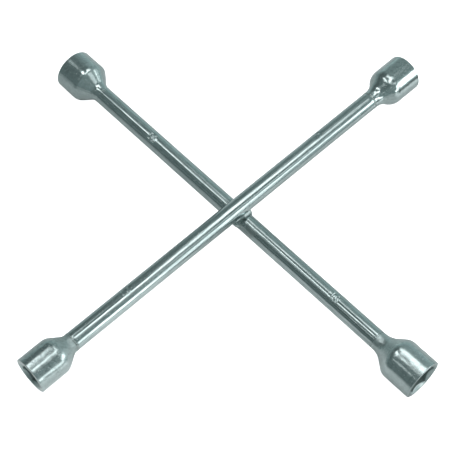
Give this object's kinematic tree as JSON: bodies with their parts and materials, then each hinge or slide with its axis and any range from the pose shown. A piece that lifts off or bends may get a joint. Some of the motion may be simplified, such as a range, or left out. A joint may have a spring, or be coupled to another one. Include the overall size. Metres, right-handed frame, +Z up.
{
  "type": "cross wheel-nut wrench",
  "caption": "Rigid cross-shaped wheel-nut wrench in plated steel: round bars welded where they cross, with a hexagon socket of a different size on every arm.",
  "frame": {"origin": "centre of the bounding box in X and Y, at the lowest point of the largest socket on the lower bar", "axes": "+Z up, from the lower bar to the upper bar; +X along the upper bar towards its 19 mm socket; +Y along the lower bar towards its 23 mm socket"},
  "size_m": [0.3528, 0.3478, 0.0408],
  "materials": {
    "bright_plate": "bright zinc plate over drawn round bar, with fine streaks along the bar",
    "forged_plate": "bright zinc plate over a turned forging, with small dents and a duller neck",
    "plated_weld": "plated weld metal, uneven and duller than the bars"
  },
  "bodies": {
    "root": {"upper_bar": "bright_plate", "lower_bar": "bright_plate", "socket_17mm": "forged_plate", "socket_19mm": "forged_plate", "socket_21mm": "forged_plate", "socket_23mm": "forged_plate", "neck_weld_17mm": "plated_weld", "neck_weld_19mm": "plated_weld", "neck_weld_21mm": "plated_weld", "neck_weld_23mm": "plated_weld", "centre_weld_front": "plated_weld", "centre_weld_back": "plated_weld"}
  },
  "joints": []
}
